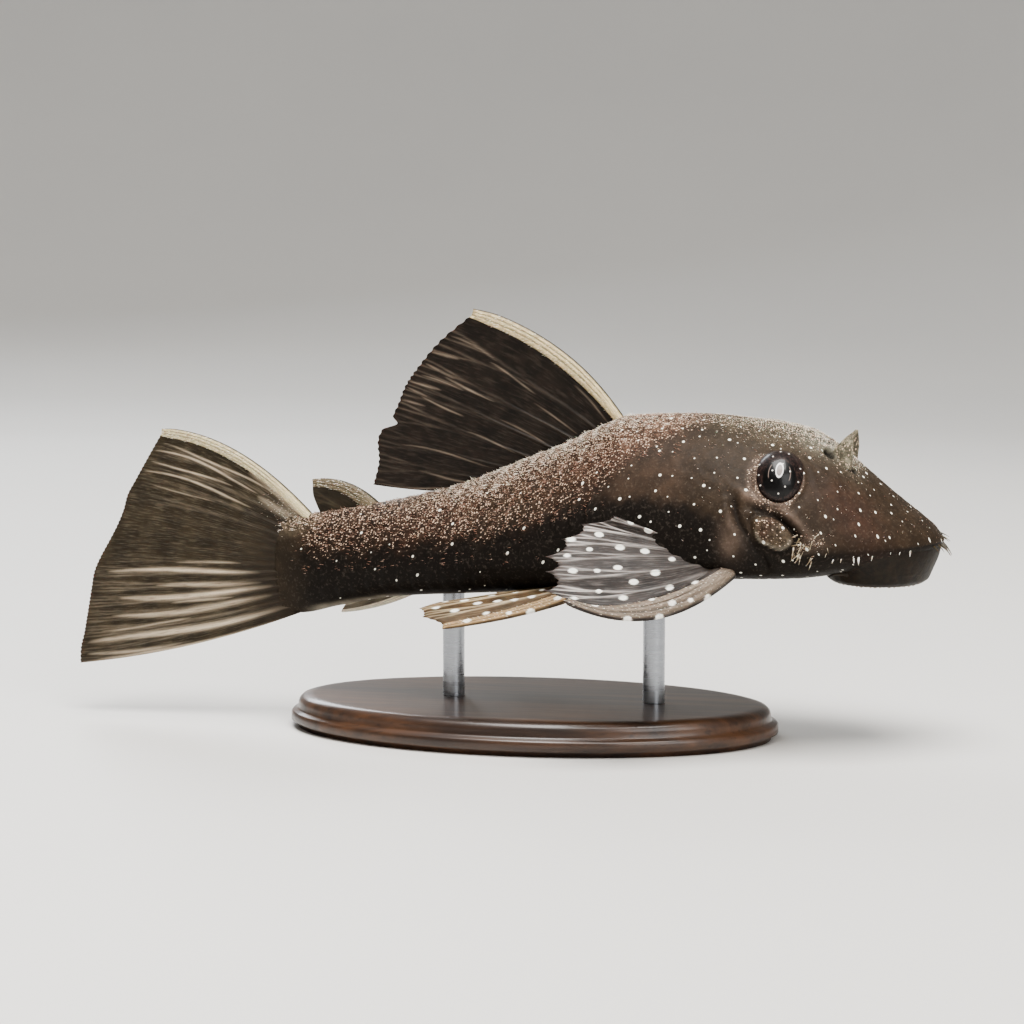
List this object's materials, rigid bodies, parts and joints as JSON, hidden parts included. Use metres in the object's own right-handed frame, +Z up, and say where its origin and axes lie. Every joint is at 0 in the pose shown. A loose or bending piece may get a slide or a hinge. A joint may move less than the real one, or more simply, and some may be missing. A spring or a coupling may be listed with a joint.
{
  "type": "bristlenose pleco model",
  "caption": "Small armoured suckermouth catfish with bony flank plates, a raised spiny dorsal fin and short snout bristles, held on two rods above an oval base.",
  "frame": {"origin": "middle of the bounding box at floor level, under the stand's base", "axes": "+X along the fish towards its snout, +Z up, +Y to the fish's left"},
  "size_m": [0.1236, 0.0468, 0.0576],
  "materials": {
    "skin": "dull dark brown skin over bone, peppered with pale dots and fine white points",
    "lips": "soft brown lips, paler underneath, with low papillae",
    "eye": "clear wet eye with a dark pupil and a brown iris",
    "fin": "smoky translucent membrane over paler rays",
    "pale_fin": "grey mauve membrane with large pale dots over stout rays",
    "stand_wood": "dark stained wood, satin",
    "stand_steel": "satin steel rod"
  },
  "bodies": {
    "root": {"head": "skin", "torso": "skin", "tail_stem": "skin", "gill_cover_left": "skin", "gill_cover_right": "skin", "mouth": "lips", "eye_left": "eye", "eye_right": "eye", "dorsal_fin": "fin", "adipose_fin": "fin", "caudal_fin": "fin", "anal_fin": "fin", "pectoral_fin_left": "pale_fin", "pectoral_fin_right": "pale_fin", "pelvic_fin_left": "pale_fin", "pelvic_fin_right": "pale_fin", "stand_base": "stand_wood", "stand_rod_front": "stand_steel", "stand_rod_rear": "stand_steel"}
  },
  "joints": []
}
